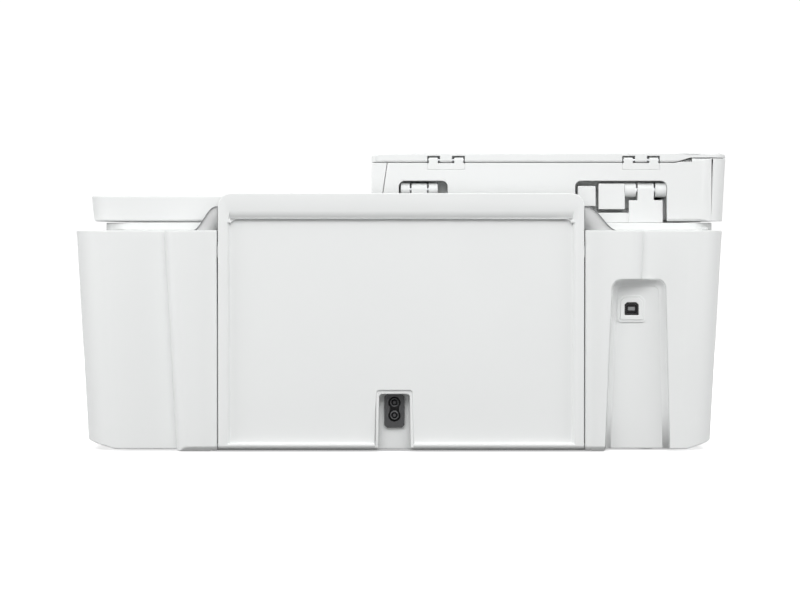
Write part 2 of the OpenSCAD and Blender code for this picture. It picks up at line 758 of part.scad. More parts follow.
module adf_cover() {
  color(white) difference() {
    intersection() {
      lean_box(lid_x0, lid_x0, lid_x1, lid_x1, lid_front, lid_rear, lid_z1 - 8, body_h + 1, 18, 4);
      along_x(lid_x0 - 1, lid_x1 + 1) {
        box2(lid_front + 15, lid_rear - 15, lid_z1 - 8, body_h);
        for (y = [lid_front + 15, lid_rear - 15])
          intersection() {
            translate([y, body_h - 52.2]) circle(52.2, $fn = 200);
            box2(y - 15, y + 15, lid_z1 - 8, body_h);
          }
      }
    }
    // Underside follows the ramp of the lid, a seam apart.
    along_y(front_y - 5, rear_y + 5)
      polygon([
        [side_x, lid_z1 - 20], [side_x, lid_z1 + 0.4], [-side_x + 35.3, lid_z1 + 0.4],
        [-side_x + 24.9, lid_z1 + 3.5], [-side_x - 5, lid_z1 + 3.5], [-side_x - 5, lid_z1 - 20]
      ]);
    slab(lid_x0 + 28, lid_x1 - 6, lid_front + 6, lid_rear - 8, lid_z1 - 10, body_h - 2.5);
    // Lower rear edge rounded about the hinge.
    along_x(lid_x0 - 1, lid_x1 + 1) difference() {
      box2(cover_hinge_y, lid_rear + 1, lid_z1 - 9, cover_hinge_z);
      translate([cover_hinge_y, cover_hinge_z]) circle(1.6);
    }
    for (x = [-160, -30])
      slab(x - 12.5, x + 12.5, cover_hinge_y - 5, lid_rear + 1, lid_z1 - 8, lid_z1 + 4.6);
  }
  color(white)
    for (x = [-160, -30])
      difference() {
        union() {
          slab(x - 4, x + 4, cover_hinge_y - 1.6, cover_hinge_y + 1.6, cover_hinge_z, lid_z1 + 5);
          rod_x(x - 4, x + 4, cover_hinge_y, cover_hinge_z, 1.6);
        }
        rod_x(x - 5, x + 5, cover_hinge_y, cover_hinge_z, cover_pin_r + run);
      }
}

// ---- input tray ----

module input_tray() {
  ledge_z = rim_z + 7.8;
  color(white) difference() {
    union() {
      difference() {
        along_y(tray_front, rear_y) arch2(-tray_x, tray_x, tray_z0, tray_z1, 8.3);
        along_y(rear_y - panel_drop, rear_y + 1)
          arch2(-tray_x + tray_border, tray_x - tray_border, 6, ledge_z, 6.6);
        slab(-tray_x + 3, tray_x - 3, tray_front - 1, rear_y - panel_drop - wall, tray_z0 + 3, tray_z1 - 9);
      }
      for (i = [-4:4])
        slab(i * 26 - 0.9, i * 26 + 0.9, tray_front + 0.6, rear_y - panel_drop - 1, 44, rim_z - 32);
      slab(inlet_x - 16, inlet_x + 16, tray_front, rear_y - panel_drop - 1, tray_z0, 45);
      // Finger ledge under the top border.
      along_x(-tray_x + tray_border - 1, tray_x - tray_border + 1)
        polygon([
          [rear_y - panel_drop - 1, ledge_z - 0.5], [rear_y - panel_drop, ledge_z - 0.5],
          [rear_y, ledge_z + 5], [rear_y - panel_drop - 1, ledge_z + 5]
        ]);
    }
    // Finger ledge slopes in above the panel.
    along_x(-tray_x + tray_border, tray_x - tray_border)
      polygon([[rear_y + 1, ledge_z - 1], [rear_y - panel_drop, ledge_z], [rear_y + 1, ledge_z + 6.6]]);
    // Bevel down the inside of each side border.
    for (s = [-1, 1])
      along_z(6, ledge_z - 3)
        polygon([
          [s * (tray_x - tray_border - 1), rear_y - panel_drop + 0.01],
          [s * (tray_x - tray_border + 1.3), rear_y + 0.01],
          [s * (tray_x - tray_border - 1), rear_y + 1]
        ]);
    // Arch that leaves the mains inlet free.
    along_y(tray_front - 1, rear_y + 1) {
      polygon([[inlet_x - 10.9, 0], [inlet_x + 10.9, 0], [inlet_x + 10.1, 36.7], [inlet_x - 10.1, 36.7]]);
      translate([inlet_x - 8.1, 36.6]) circle(2);
      translate([inlet_x + 8.1, 36.6]) circle(2);
      box2(inlet_x - 8.1, inlet_x + 8.1, 36, 38.6);
    }
    along_y(rear_y - panel_drop - 1.2, rear_y + 1) {
      polygon([[inlet_x - 12.8, 0], [inlet_x + 12.8, 0], [inlet_x + 11.9, 39], [inlet_x - 11.9, 39]]);
      translate([inlet_x - 9.9, 39.1]) circle(2);
      translate([inlet_x + 9.9, 39.1]) circle(2);
      box2(inlet_x - 9.9, inlet_x + 9.9, 38, 41.1);
    }
    // Lower rear edge eased for the lean.
    along_x(-tray_x - 1, tray_x + 1)
      polygon([[rear_y + 1, tray_z0 - 1], [rear_y - 2.5, tray_z0 - 1], [rear_y + 1, tray_z0 + 2.5]]);
    for (s = [-1, 1])
      rod_x(s > 0 ? tray_x - 5 : -tray_x - 1, s > 0 ? tray_x + 1 : -tray_x + 5,
            tray_pin_y, tray_pin_z, 1.7 + run);
    slab(-tray_x + 3, tray_x - 3, tray_front - 1, rear_y - panel_drop - wall, rim_z - 30, tray_z1 - 3);
  }
  // Boss that the guide pinion turns on.
  color(white) rod_y(tray_front + 1.2, rear_y - panel_drop - 1, 0, rim_z - 11, 2);
}

module tray_runners() {
  color(soft_grey) {
    for (s = [-1, 1]) {
      slab(s > 0 ? pod_x + 0.2 : -pod_x - 3.8, s > 0 ? pod_x + 3.8 : -pod_x - 0.2,
           tray_pin_y - 3, tray_pin_y + 3, 0.9, 30);
      rod_x(s > 0 ? tray_x - 4.5 : -pod_x - 1, s > 0 ? pod_x + 1 : -tray_x + 4.5,
            tray_pin_y, tray_pin_z, 1.7);
    }
    slab(-pod_x - 1, pod_x + 1, tray_pin_y - 2, tray_pin_y + 1.4, 0.9, 2);
  }
}

module width_rack(s) {
  x0 = s > 0 ? -14 : -path_x;
  x1 = s > 0 ? path_x : 14;
  along_y(tray_front + 2.4, tray_front + 5.6) {
    box2(x0, x1, rim_z - 11 + s * 8 + (s > 0 ? 0 : -3), rim_z - 11 + s * 8 + (s > 0 ? 3 : 0));
    for (k = [-1:21])
      translate([s * (k - 2.5) * PI, rim_z - 11 + s * 7])
        rotate([0, 0, s > 0 ? 180 : 0]) rack_tooth();
  }
  // Upright arm and the fence that guides the edge of the sheets.
  slab(s > 0 ? path_x - 6 : -path_x, s > 0 ? path_x : -path_x + 6, tray_front + (s > 0 ? 2.4 : 0.2),
       tray_front + (s > 0 ? 5.6 : 2), rim_z - 11 + (s > 0 ? 8 : -11), tray_z1 - 4.5);
  slab(s > 0 ? path_x - 6 : -path_x, s > 0 ? path_x : -path_x + 6, tray_front + (s > 0 ? 2.4 : 0.2),
       tray_front + 5.6, rim_z - 11 + (s > 0 ? 8 : -11), rim_z - 11 + (s > 0 ? 11 : -8));
  slab(s > 0 ? path_x - 1 : -path_x - 1, s > 0 ? path_x + 1 : -path_x + 1,
       lid_rear + 2, tray_front + 5.6, rim_z + 3, tray_z1 - 5.5);
}

module width_guide_left() {
  color(mid_grey) width_rack(-1);
}

module width_guide_right() {
  color(mid_grey) width_rack(1);
}

module guide_pinion() {
  color(cream) difference() {
    along_y(tray_front + 2.4, tray_front + 5.6)
      translate([0, rim_z - 11]) gear2(14, 90);
    rod_y(tray_front, tray_front + 9, 0, rim_z - 11, 2 + run);
  }
}

// ---- output tray and door ----

module output_tray() {
  color(dark_grey) {
    slab(-113, 113, front_y + 3, front_y + 116, 17, 20);
    for (s = [-1, 1]) {
      slab(s > 0 ? 110 : -113, s > 0 ? 113 : -110, front_y + 3, front_y + 116, 11.5, 23);
      slab(s > 0 ? 61 : -64, s > 0 ? 64 : -61, front_y + 12, front_y + 116, 11, 17.5);
      slab(s > 0 ? 57.5 : -64, s > 0 ? 64 : -57.5, front_y + 12, front_y + 116, 11, 12.6);
    }
    slab(-113, 113, front_y + 0.6, front_y + 3.2, 17, 26);
  }
}

module tray_extender() {
  color(dark_grey) {
    slab(-60.4, 60.4, front_y + 4, front_y + 106, 13.1, 16.5);
    slab(-40, 40, front_y + 0.6, front_y + 4.2, 10.5, 16.4);
  }
}

module cartridge_door() {
  color(white) difference() {
    union() {
      rod_x(-door_x + 2, door_x - 2, door_pin_y, door_pin_z, 4.1);
      slab(-door_x + 2, door_x - 2, front_y, front_y + wall, door_z0, door_pin_z);
      for (s = [-1, 1])
        rod_x(s > 0 ? door_x - 3 : -door_x - 3.6, s > 0 ? door_x + 3.6 : -door_x + 3,
              door_pin_y, door_pin_z, 1.2);
      slab(-door_x + 5, door_x - 5, front_y + 1, front_y + 5, door_z0 + 3, door_z0 + 5);
    }
    // Finger scoop at the lower edge.
    translate([0, front_y, door_z0 - 6]) rotate([90, 0, 0]) translate([0, 0, -1.2])
      cylinder(r = 26, h = 3);
  }
}

// ---- paper path ----

module paper_ramp() {
  color(mid_grey) along_x(-path_x, path_x) {
    difference() {
      translate([ramp_y, ramp_z]) circle(ramp_r + 1.5, $fn = 120);
      translate([ramp_y, ramp_z]) circle(ramp_r, $fn = 120);
      box2(ramp_y - 60, ramp_y + 60, ramp_z, ramp_z + 60);
      box2(ramp_y - 60, ramp_y, ramp_z - 60, ramp_z + 60);
    }
    box2(ramp_y + ramp_r, ramp_y + ramp_r + 1.5, ramp_z, rim_z - 3);
    box2(feed_y + 9, ramp_y, ramp_z - ramp_r - 1.5, ramp_z - ramp_r);
  }
}

module roller_frame() {
  color(steel) {
    difference() {
      union() {
        along_x(plate_x, plate_x + 2)
          polygon([
            [output_y - 7, 4.2], [pick_y + 12, 4.2], [pick_y + 12, pick_z + 8], [pick_y - 10, pick_z + 8],
            [feed_y + 12, feed_z + 18], [feed_y - 6, feed_z + 18], [feed_y - 12, feed_z + 5.6],
            [output_y - 7, feed_z + 5.6]
          ]);
        along_x(plate_right, plate_right + 2)
          polygon([
            [output_y - 7, 4.2], [pick_y + 12, 4.2], [pick_y + 12, pick_z + 8], [pick_y - 10, pick_z + 8],
            [feed_y + 12, feed_z + 18], [feed_y - 6, feed_z + 18], [feed_y - 12, feed_z + 5.6],
            [output_y - 7, feed_z + 5.6]
          ]);
        // Fixed axles of the two idler gears.
        rod_x(gear_x0 - 0.6, plate_x + 1, idler_y, feed_z, 2.5);
        rod_x(gear_x0 - 0.6, plate_x + 1, pick_idler_y, pick_idler_z, 2.5);
        rod_x(gear_x0 + gear_w + 0.4, plate_x + 1, idler_y, feed_z, 4);
        rod_x(gear_x0 + gear_w + 0.4, plate_x + 1, pick_idler_y, pick_idler_z, 4);
      }
      for (x = [plate_x, plate_right]) {
        rod_x(x - 1, x + 3, feed_y, feed_z, 3 + run);
        rod_x(x - 1, x + 3, output_y, feed_z, 3 + run);
        rod_x(x - 1, x + 3, pick_y, pick_z, 3 + run);
        rod_x(x - 1, x + 3, pinch_y, pinch_z, 1.5 + run);
      }
      rod_x(plate_x - 1, plate_x + 3, pinion_y, pinion_z, 3);
    }
  }
}

module platen() {
  color(dark_grey) {
    slab(plate_x + 2.3, plate_right - gap, output_y + 7, feed_y - 7.5, feed_z - 9, feed_z + 2);
    for (i = [-8:8])
      slab(i * 12.5 - 0.8, i * 12.5 + 0.8, output_y + 8, feed_y - 8.5, feed_z + 1, feed_z + 4.5);
  }
}

module feed_roller() {
  color(cream) train_gear(feed_teeth, 0, feed_y, feed_z, 3);
  color(steel) rod_x(gear_x0 - 0.5, plate_right + 2.5, feed_y, feed_z, 3);
  color(dark_grey) difference() {
    rod_x(-path_x - 2, path_x + 2, feed_y, feed_z, feed_d / 2);
    rod_x(-path_x - 3, path_x + 3, feed_y, feed_z, 3);
  }
}

module train_gear(teeth, phase, y, z, bore) {
  difference() {
    along_x(gear_x0, gear_x0 + gear_w) translate([y, z]) gear2(teeth, phase);
    rod_x(gear_x0 - 1, gear_x0 + gear_w + 1, y, z, bore);
    if (teeth > 20)
      difference() {
        rod_x(gear_x0 - 1, gear_x0 + 2, y, z, teeth / 2 - 4);
        rod_x(gear_x0 - 2, gear_x0 + 3, y, z, bore + 3);
      }
  }
}

module idler_gear() {
  color(cream) train_gear(idler_teeth, idler_phase, idler_y, feed_z, 2.5 + run);
}

module pick_idler_gear() {
  color(cream) train_gear(pick_idler_teeth, pick_idler_phase, pick_idler_y, pick_idler_z, 2.5 + run);
}

module motor_pinion() {
  color(steel) {
    train_gear(pinion_teeth, pinion_phase, pinion_y, pinion_z, 1.5);
    rod_x(gear_x0 - 0.5, plate_x + 8, pinion_y, pinion_z, 1.5);
  }
}

module feed_motor() {
  color(dark_grey) difference() {
    rod_x(plate_x + 2.2, plate_x + 28, pinion_y, pinion_z, 17);
    rod_x(plate_x, plate_x + 9, pinion_y, pinion_z, 1.5 + run);
  }
}

module output_roller() {
  color(cream) train_gear(feed_teeth, output_phase, output_y, feed_z, 3);
  color(steel) rod_x(gear_x0 - 0.5, plate_right + 2.5, output_y, feed_z, 3);
  color(dark_grey)
    for (i = [-3:3])
      difference() {
        rod_x(i * 30 - 8, i * 30 + 8, output_y, feed_z, 5);
        rod_x(i * 30 - 9, i * 30 + 9, output_y, feed_z, 3);
      }
}

module pinch_rollers() {
  color(steel) rod_x(plate_x - 0.5, plate_right + 2.5, pinch_y, pinch_z, 1.5);
  color(soft_grey)
    for (i = [-3:3])
      difference() {
        rod_x(i * 30 - 6, i * 30 + 6, pinch_y, pinch_z, 4);
        rod_x(i * 30 - 7, i * 30 + 7, pinch_y, pinch_z, 1.5);
      }
}

module pick_roller() {
  color(cream) train_gear(pick_teeth, pick_phase, pick_y, pick_z, 3);
  color(steel) rod_x(gear_x0 - 0.5, plate_right + 2.5, pick_y, pick_z, 3);
  color(dark_grey)
    for (i = [-1, 1])
      difference() {
        rod_x(i * 40 - 14, i * 40 + 14, pick_y, pick_z, pick_d / 2);
        rod_x(i * 40 - 15, i * 40 + 15, pick_y, pick_z, 3);
      }
}

// ---- carriage drive ----

module carriage_rail() {
  color(steel) difference() {
    union() {
      slab(-rail_x, rail_x, rail_y, rail_y + 2, 87, rim_z - 24);
      for (s = [-1, 1]) {
        slab(s > 0 ? 164 : -190, s > 0 ? 190 : -164, rail_y, rail_y + 2, 4.2, 88);
        slab(s > 0 ? rail_x - 3 : -rail_x, s > 0 ? rail_x : -rail_x + 3, guide_y - 6, rail_y + 1, 84, 100);
      }
      rod_x(-rail_x + 1, rail_x - 1, guide_y, guide_z, guide_d / 2);
    }
    for (x = [drive_x, idle_x])
      rod_y(rail_y - 1, rail_y + 3, x, belt_z, 2.2);
  }
  color(mid_grey) difference() {
    slab(idle_x - 7, idle_x + 5, rail_y + 2, rail_y + 10, belt_z - 7, belt_z + 7);
    rod_y(rail_y, rail_y + 9, idle_x, belt_z, 1.5 + run);
  }
}

module belt2(r) {
  box2(drive_x, idle_x, belt_z - r, belt_z + r);
  for (x = [drive_x, idle_x])
    translate([x, belt_z]) circle(r);
}

module carriage_belt() {
  color(black) along_y(belt_y0 + 0.6, belt_y1 - 0.6)
    difference() {
      belt2(pulley_r + gap + 1);
      belt2(pulley_r + gap);
    }
}

module pulley(x, y_end) {
  difference() {
    rod_y(belt_y0 + 0.4, belt_y1 - 0.4, x, belt_z, pulley_r);
    for (i = [0:17])
      translate([x, belt_y0, belt_z]) rotate([0, i * 20, 0]) translate([pulley_r, 0, 0])
        rotate([-90, 0, 0]) cylinder(r = 0.5, h = 6, $fn = 4);
    rod_y(belt_y0 - 1, belt_y1 + 1, x, belt_z, 1.5);
  }
  rod_y(belt_y0, y_end, x, belt_z, 1.5);
}

module carriage_pulley() {
  color(steel) pulley(drive_x, rail_y + 8);
}

module idler_pulley() {
  color(cream) pulley(idle_x, rail_y + 8);
}

module carriage_motor() {
  color(dark_grey) difference() {
    rod_y(rail_y + 2.2, rail_y + 26, drive_x, belt_z, 14);
    rod_y(rail_y, rail_y + 9, drive_x, belt_z, 1.5 + run);
  }
}

module carriage() {
  color(dark_grey) difference() {
    union() {
      slab(car_x0, car_x1, car_front, car_rear, car_z0 + 5, 112);
      slab(park_x - 26, park_x + 26, car_front + 6, car_rear - 12, car_z0, car_z0 + 6);
      rod_x(car_x0 + 2, car_x1 - 2, guide_y, guide_z, 7);
      slab(car_x0 + 2, car_x1 - 2, car_rear - 1, guide_y, guide_z - 7, guide_z + 7);
      slab(park_x - 9, park_x + 9, car_rear - 1, belt_y1 + 1, belt_z - 11, belt_z - 4);
    }
    for (s = [-1, 1])
      slab(park_x + s * 15.2 - 13.4, park_x + s * 15.2 + 13.4, car_front - 1, car_rear - 8, car_z0 + 8, 113);
    rod_x(car_x0 - 1, car_x1 + 1, guide_y, guide_z, guide_d / 2 + run);
    slab(park_x - 20, park_x + 20, belt_y0 - 0.4, belt_y1 + 2, belt_z - pulley_r - gap - 1.5, belt_z);
    // Seats for the latch pins in the side walls and the middle wall.
    rod_x(car_x0 - 1, car_x1 + 1, car_front + 3.4, car_z0 + 11, 1.3);
  }
}

module cartridge(s) {
  x = park_x + s * 15.2;
  slab(x - 13, x + 13, car_front + 7.4, car_rear - 8.4, car_z0 + 8.3, 104);
  slab(x - 13, x + 13, car_front + 24, car_rear - 8.4, 103, 114);
  slab(x - 5, x + 5, car_front + 8, car_front + 24.5, 103.5, 106);
}

module black_cartridge() {
  color(black) cartridge(-1);
}

module color_cartridge() {
  color(dark_grey) cartridge(1);
}

// Front lever that locks a cartridge; it tips forward to let the cartridge out.
module latch(s) {
  x = park_x + s * 15.2;
  rod_x(x - 12.8, x + 12.8, car_front + 3.4, car_z0 + 11, 2.6);
  slab(x - 12.8, x + 12.8, car_front + 2.2, car_front + 5, car_z0 + 11, 109);
  slab(x - 6, x + 6, car_front - 1.6, car_front + 2.6, 106, 108);
  rod_x(x - 14.2, x + 14.2, car_front + 3.4, car_z0 + 11, 1.2);
}

module black_latch() {
  color(soft_grey) latch(-1);
}

module color_latch() {
  color(mid_grey) latch(1);
}

module service_station() {
  color(soft_grey) difference() {
    slab(119, 181, car_front + 4, car_rear - 4, 4.2, 62);
    slab(121.5, 178.5, car_front + 6.5, car_rear - 6.5, 10, 63);
  }
  color(soft_grey)
    for (y = [car_front + 14, car_rear - 18])
      post(park_x, y, 9, 50, 3);
}

module cap_sled() {
  color(mid_grey) {
    difference() {
      slab(122, 178, car_front + 7, car_rear - 7, 54, 66);
      slab(125, 175, car_front + 10, car_rear - 10, 57, 67);
      for (y = [car_front + 14, car_rear - 18])
        post(park_x, y, 50, 58, 3.5);
    }
    for (s = [-1, 1])
      slab(park_x + s * 14 - 9, park_x + s * 14 + 9, car_front + 20, car_rear - 22, 56.5, 67.5);
  }
}

lower_housing();
rear_pods();
base_pan();
rubber_feet();
slot_cheeks();
power_inlet();
usb_socket();
power_supply();
main_board();
scanner_base();
scanner_glass();
cis_rail();
cis_rack();
cis_bar();
cis_pinion();
shoulder_cover();
control_panel();
power_button();
wireless_button();
cancel_button();
copy_button();
scan_button();
hinge_towers();
hinge_pins();
lid_housing();
lid_end_cap();
pressure_pad();
adf_roller();
adf_cover();
input_tray();
tray_runners();
width_guide_left();
width_guide_right();
guide_pinion();
output_tray();
tray_extender();
cartridge_door();
paper_ramp();
roller_frame();
platen();
feed_roller();
idler_gear();
pick_idler_gear();
motor_pinion();
feed_motor();
output_roller();
pinch_rollers();
pick_roller();
carriage_rail();
carriage_belt();
carriage_pulley();
idler_pulley();
carriage_motor();
carriage();
black_cartridge();
color_cartridge();
black_latch();
color_latch();
service_station();
cap_sled();
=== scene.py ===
"""Looks for the inkjet printer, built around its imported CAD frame. Metres; sizes here in mm."""
import json
import math

import bmesh
import bpy
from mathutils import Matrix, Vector


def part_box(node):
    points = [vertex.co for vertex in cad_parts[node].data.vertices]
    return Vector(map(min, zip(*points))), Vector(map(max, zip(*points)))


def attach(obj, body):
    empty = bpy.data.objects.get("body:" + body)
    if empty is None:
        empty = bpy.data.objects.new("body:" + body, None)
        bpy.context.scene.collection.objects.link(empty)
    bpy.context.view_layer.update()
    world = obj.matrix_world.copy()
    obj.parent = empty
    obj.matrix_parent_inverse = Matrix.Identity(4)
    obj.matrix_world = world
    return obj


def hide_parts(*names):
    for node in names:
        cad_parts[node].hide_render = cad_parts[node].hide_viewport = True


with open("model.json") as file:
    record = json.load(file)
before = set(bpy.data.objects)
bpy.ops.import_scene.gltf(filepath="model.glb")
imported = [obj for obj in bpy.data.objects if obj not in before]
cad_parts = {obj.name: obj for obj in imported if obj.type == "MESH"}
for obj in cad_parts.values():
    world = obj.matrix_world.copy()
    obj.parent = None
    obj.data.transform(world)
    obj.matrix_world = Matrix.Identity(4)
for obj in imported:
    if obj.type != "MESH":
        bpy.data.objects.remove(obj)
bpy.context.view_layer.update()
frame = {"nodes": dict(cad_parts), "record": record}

MM = 0.001


# ---- materials ----

class Nodes:
    """A material under construction, with short ways to add and link its shader nodes."""

    def __init__(self, name):
        self.material = bpy.data.materials.new(name)
        self.material.use_nodes = True
        self.tree = self.material.node_tree
        self.shader = self.tree.nodes["Principled BSDF"]

    def add(self, kind, **values):
        node = self.tree.nodes.new(kind)
        for key, value in values.items():
            if key in node.inputs:
                node.inputs[key].default_value = value
            else:
                setattr(node, key, value)
        return node

    def link(self, source, output, target, socket):
        self.tree.links.new(source.outputs[output], target.inputs[socket])

    def noise(self, scale, detail, rough=0.55):
        node = self.add("ShaderNodeTexNoise", Scale=scale, Detail=detail, Roughness=rough)
        place = self.add("ShaderNodeTexCoord")
        self.link(place, "Object", node, "Vector")
        return node

    def span(self, source, output, low, high, start=0.3, end=0.7):
        node = self.add("ShaderNodeMapRange")
        node.inputs["From Min"].default_value = start
        node.inputs["From Max"].default_value = end
        node.inputs["To Min"].default_value = low
        node.inputs["To Max"].default_value = high
        self.link(source, output, node, "Value")
        return node

    def mix(self, source, output, a, b):
        """Runs from colour a to colour b; either may be a node whose colour is used."""
        node = self.add("ShaderNodeMix", data_type="RGBA")
        self.link(source, output, node, 0)
        for socket, value in ((6, a), (7, b)):
            if isinstance(value, tuple):
                node.inputs[socket].default_value = value
            else:
                self.link(value, 2, node, socket)
        return node

    def edge(self, radius=0.0008):
        """1 within a radius of an edge and 0 elsewhere."""
        rounded = self.add("ShaderNodeBevel", samples=3)
        rounded.inputs["Radius"].default_value = radius
        shape = self.add("ShaderNodeNewGeometry")
        turn = self.add("ShaderNodeVectorMath", operation="DOT_PRODUCT")
        self.link(rounded, "Normal", turn, 0)
        self.link(shape, "Normal", turn, 1)
        return self.span(turn, "Value", 1.0, 0.0, 0.90, 0.995)

    def bump(self, source, output, depth, strength):
        node = self.add("ShaderNodeBump", Strength=strength, Distance=depth)
        self.link(source, output, node, "Height")
        self.link(node, "Normal", self.shader, "Normal")


def shade(color, factor):
    """A colour made lighter or darker, with alpha."""
    return tuple(min(1.0, c * factor) for c in color) + (1.0,)


def plastic(name, color, rough, grain=1500.0, depth=0.00003, spread=0.03, edge_highlight=1.04, specular=0.4):
    """Moulded plastic: spark grain, faint clouding, and a painted highlight that makes the edges a touch
    lighter.
    """
    n = Nodes(name)
    fine = n.noise(grain, 4.0, 0.65)
    broad = n.noise(11.0, 5.0)
    clouded = n.mix(broad, "Fac", shade(color, 1 - spread), shade(color, 1 + spread * 0.3))
    # Painted highlight: colour near edges found by the bevel shader is made lighter.
    highlighted_edges = n.mix(n.edge(), "Result", clouded, shade(color, edge_highlight))
    n.link(highlighted_edges, 2, n.shader, "Base Color")
    polish = n.span(broad, "Fac", rough - 0.05, rough + 0.05)
    n.link(polish, "Result", n.shader, "Roughness")
    n.bump(fine, "Fac", depth, 0.3)
    n.shader.inputs["Specular IOR Level"].default_value = specular
    return n.material


def metal(name, color, rough):
    """Plated steel with drawn lines along X and small stains."""
    n = Nodes(name)
    place = n.add("ShaderNodeTexCoord")
    stretch = n.add("ShaderNodeMapping")
    stretch.inputs["Scale"].default_value = (1.0, 60.0, 60.0)
    lines = n.add("ShaderNodeTexNoise", Scale=60.0, Detail=5.0, Roughness=0.7)
    n.link(place, "Object", stretch, "Vector")
    n.link(stretch, "Vector", lines, "Vector")
    stain = n.noise(16.0, 4.0)
    tint = n.mix(stain, "Fac", shade(color, 0.82), shade(color, 1.04))
    n.link(tint, 2, n.shader, "Base Color")
    n.shader.inputs["Metallic"].default_value = 1.0
    polish = n.span(lines, "Fac", rough - 0.08, rough + 0.12)
    n.link(polish, "Result", n.shader, "Roughness")
    n.bump(lines, "Fac", 0.00002, 0.2)
    return n.material


def glass(name):
    """Flat scanner glass with a green cast and a trace of dust."""
    n = Nodes(name)
    dust = n.noise(420.0, 6.0, 0.7)
    haze = n.span(dust, "Fac", 0.02, 0.14, 0.55, 0.8)
    n.link(haze, "Result", n.shader, "Roughness")
    tint = n.mix(dust, "Fac", (0.80, 0.90, 0.87, 1), (0.88, 0.94, 0.93, 1))
    n.link(tint, 2, n.shader, "Base Color")
    n.shader.inputs["Transmission Weight"].default_value = 0.85
    n.shader.inputs["IOR"].default_value = 1.52
    return n.material


def circuit(name):
    """Green solder resist with paler copper runs under it."""
    n = Nodes(name)
    place = n.add("ShaderNodeTexCoord")
    runs = n.add("ShaderNodeTexBrick", Scale=160.0)
    runs.inputs["Mortar Size"].default_value = 0.08
    n.link(place, "Object", runs, "Vector")
    tint = n.mix(runs, "Fac", (0.010, 0.085, 0.035, 1), (0.05, 0.22, 0.09, 1))
    n.link(tint, 2, n.shader, "Base Color")
    n.shader.inputs["Roughness"].default_value = 0.38
    n.bump(runs, "Fac", 0.00003, 0.4)
    return n.material


SHELL = (0.82, 0.832, 0.828)
LOOKS = {
    "shell_white": plastic("shell_white_look", SHELL, 0.5),
    "trim_grey": plastic("trim_grey_look", (0.55, 0.555, 0.555), 0.46),
    "mid_plastic": plastic("mid_plastic_look", (0.25, 0.255, 0.26), 0.5),
    "dark_plastic": plastic("dark_plastic_look", (0.050, 0.051, 0.053), 0.44, spread=0.12, edge_highlight=1.3),
    "panel_plastic": plastic("panel_plastic_look", (0.020, 0.021, 0.023), 0.26, depth=0.00001, spread=0.1),
    "black_plastic": plastic("black_plastic_look", (0.010, 0.010, 0.011), 0.33, spread=0.2, edge_highlight=1.5),
    "rubber": plastic("rubber_look", (0.020, 0.020, 0.021), 0.8, 900.0, 0.00006, 0.2, 1.4, 0.25),
    "steel": metal("steel_look", (0.62, 0.63, 0.65), 0.3),
    "glass": glass("glass_look"),
    "circuit_board": circuit("circuit_board_look"),
    "gear_plastic": plastic("gear_plastic_look", (0.72, 0.69, 0.58), 0.4),
    "foam_white": plastic("foam_white_look", (0.86, 0.86, 0.85), 0.88, 700.0, 0.00012, 0.03, 1.0, 0.2),
}
SLOTS = {part["node"]: part["material_slot"] for part in frame["record"]["subparts"]}

# Width of the rounded edge that the mould leaves on each node.
EDGE = {
    "lower_housing": 0.9, "rear_pods": 0.9, "shoulder_cover": 1.6, "lid_housing": 0.5,
    "lid_end_cap": 0.6, "adf_cover": 0.7, "input_tray": 0.7, "slot_cheeks": 0.5,
    "scanner_base": 0.5, "cartridge_door": 0.8, "hinge_towers": 0.5, "power_inlet": 0.35,
    "control_panel": 0.4, "output_tray": 0.6, "tray_extender": 0.6, "carriage": 0.5,
    "black_cartridge": 0.6, "color_cartridge": 0.6, "pressure_pad": 0.5,
}
SMALL_EDGE = 0.25


def bevel_and_blend(obj, width, segments, sharp_angle):
    """Bevels the edges sharper than an angle and blends the normals over the small faces."""
    bevel = obj.modifiers.new("edge", "BEVEL")
    bevel.width = width * MM
    bevel.segments = segments
    bevel.limit_method = "ANGLE"
    bevel.angle_limit = math.radians(sharp_angle)
    bevel.use_clamp_overlap = False
    normals = obj.modifiers.new("normals", "WEIGHTED_NORMAL")
    normals.weight = 90
    normals.keep_sharp = False


def round_edges(obj, width, segments=3):
    """Welds and flattens a mesh, then rounds its sharp edges so that they catch the light."""
    weld = obj.modifiers.new("weld", "WELD")
    weld.merge_threshold = 0.02 * MM
    flat = obj.modifiers.new("flat", "DECIMATE")
    flat.decimate_type = "DISSOLVE"
    flat.angle_limit = math.radians(0.3)
    bevel_and_blend(obj, width, segments, 32)


for node_name, node_object in frame["nodes"].items():
    look = LOOKS[SLOTS[node_name]]
    node_object.data.materials.clear()
    node_object.data.materials.append(look)
    for face in node_object.data.polygons:
        face.use_smooth = True
    round_edges(node_object, EDGE.get(node_name, SMALL_EDGE), 3 if node_name in EDGE else 2)


# ---- pieces made here ----

def piece(name, verts, faces, slot_name, body, smooth=True):
    """A mesh piece from points in millimetres, on a body, with its finish."""
    mesh = bpy.data.meshes.new(name)
    mesh.from_pydata([tuple(c * MM for c in v) for v in verts], [], faces)
    build = bmesh.new()
    build.from_mesh(mesh)
    bmesh.ops.recalc_face_normals(build, faces=build.faces)
    build.to_mesh(mesh)
    build.free()
    obj = bpy.data.objects.new(name, mesh)
    bpy.context.collection.objects.link(obj)
    mesh.materials.append(LOOKS[slot_name])
    for face in mesh.polygons:
        face.use_smooth = smooth
    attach(obj, body)
    return obj


def loft(loops, closed=True, caps=True):
    """Vertices and faces through loops of equal length; the loops close on themselves."""
    verts = [v for loop in loops for v in loop]
    n = len(loops[0])
    faces = []
    for k in range(len(loops) - 1):
        for i in range(n if closed else n - 1):
            j = (i + 1) % n
            faces.append((k * n + i, k * n + j, (k + 1) * n + j, (k + 1) * n + i))
    if caps and closed:
        faces.append(tuple(range(n))[::-1])
        faces.append(tuple((len(loops) - 1) * n + i for i in range(n)))
    return verts, faces


